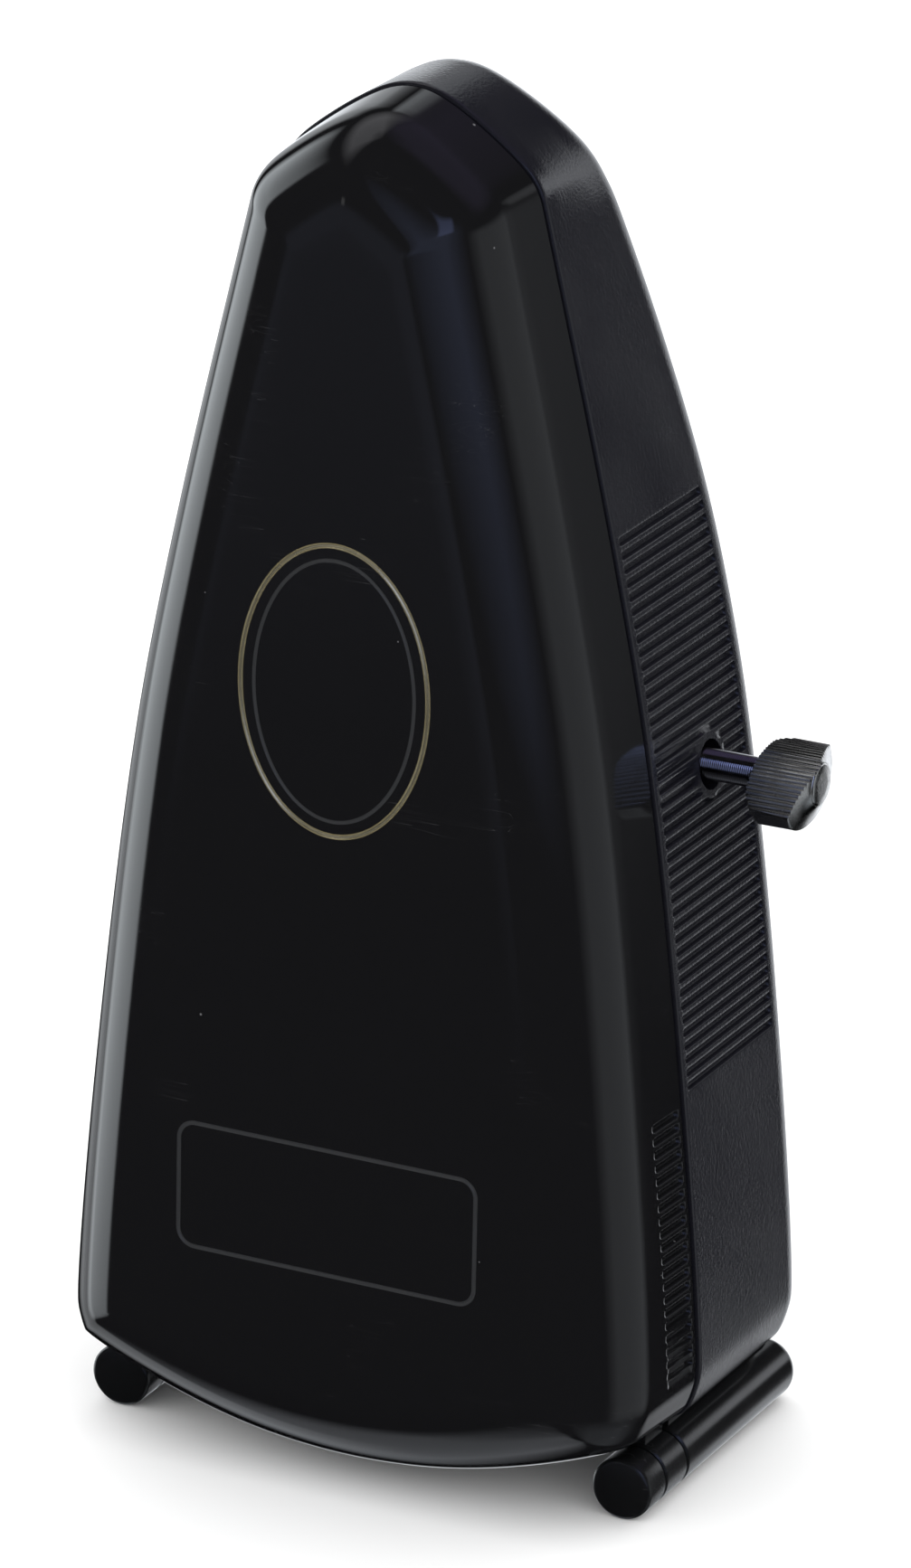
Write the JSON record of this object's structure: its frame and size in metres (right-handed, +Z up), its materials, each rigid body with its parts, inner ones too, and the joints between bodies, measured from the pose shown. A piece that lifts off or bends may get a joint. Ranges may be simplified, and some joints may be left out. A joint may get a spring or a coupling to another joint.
{
  "type": "clockwork metronome",
  "caption": "Tall arched pocket clockwork metronome in black plastic, with a lift-off front cover, ribbed sides, side winding key, pendulum, tempo weight and spring movement.",
  "frame": {"origin": "on the ground between the foot bars, on the plane of symmetry, in the parting plane of cover and case", "axes": "+Z up, front cover faces -Y, winding key on the +X side"},
  "size_m": [0.0792, 0.0486, 0.157],
  "materials": {
    "case_black": "satin gloss",
    "cover_black": "high gloss",
    "foot_black": "satin gloss",
    "panel_grey": "fine matte",
    "scale_silver": "brushed",
    "brass": "polished",
    "steel": "ground",
    "blued": "blued",
    "nickel": "nickel plated",
    "weight_red": "gloss enamel"
  },
  "bodies": {
    "case": {"rear_case": "case_black", "foot_bar_left": "foot_black", "foot_bar_right": "foot_black", "inner_panel": "panel_grey", "scale_plate": "scale_silver", "panel_screw_1": "steel", "panel_screw_2": "steel", "panel_screw_3": "steel", "panel_screw_4": "steel", "rod_rest": "panel_grey", "plate_left": "brass", "plate_right": "brass", "train_plate": "brass", "pillar_1": "steel", "pillar_2": "steel", "pillar_3": "steel", "pillar_4": "steel", "spring_post": "steel", "mainspring": "blued", "verge_bush": "brass", "rear_bearing": "brass"},
    "cover": {"front_cover": "cover_black", "foot_collar_left": "foot_black", "foot_collar_right": "foot_black", "foot_cap_left": "foot_black", "foot_cap_right": "foot_black"},
    "winder": {"winding_arbor": "steel", "ratchet_wheel": "steel", "key_shaft": "nickel", "key_knob": "nickel"},
    "great": {"great_wheel": "brass", "click_spring": "blued"},
    "pawl": {"click": "steel"},
    "second": {"second_arbor": "steel", "second_wheel": "brass"},
    "escape": {"escape_arbor": "steel", "crown_wheel": "brass"},
    "pendulum": {"verge_arbor": "steel", "pallet_front": "steel", "pallet_rear": "steel", "pendulum_rod": "steel", "counterweight": "brass"},
    "weight": {"tempo_weight": "weight_red", "weight_spring": "steel"}
  },
  "joints": [
    {"name": "cover_off", "type": "slide", "parent": "case", "child": "cover", "axis": [0, -1, 0], "range_m": [0, 0.06]},
    {"name": "key_turn", "type": "hinge", "parent": "case", "child": "winder", "pos_m": [0, 0.0139, 0.0806], "axis": [1, 0, 0], "continuous": true},
    {"name": "great_turn", "type": "hinge", "parent": "case", "child": "great", "pos_m": [0, 0.0139, 0.0806], "axis": [1, 0, 0], "continuous": true},
    {"name": "second_turn", "type": "hinge", "parent": "case", "child": "second", "pos_m": [0, 0.0139, 0.0685], "axis": [1, 0, 0], "continuous": true},
    {"name": "escape_turn", "type": "hinge", "parent": "case", "child": "escape", "pos_m": [0, 0.0139, 0.0588], "axis": [1, 0, 0], "continuous": true},
    {"name": "click_tilt", "type": "hinge", "parent": "great", "child": "pawl", "pos_m": [0, 0.0145, 0.0878], "axis": [1, 0, 0], "range_deg": [-4, 8], "stiffness_Nm_per_rad": 0.0002},
    {"name": "pendulum_swing", "type": "hinge", "parent": "case", "child": "pendulum", "pos_m": [0, -0.004, 0.0588], "axis": [0, 1, 0], "range_deg": [-12, 12]},
    {"name": "weight_slide", "type": "slide", "parent": "pendulum", "child": "weight", "axis": [0, 0, 1], "range_m": [-0.028, 0.018]}
  ],
  "couplings": [
    {"joint": "second_turn", "follows": "great_turn", "ratio": -5},
    {"joint": "escape_turn", "follows": "great_turn", "ratio": 25}
  ]
}
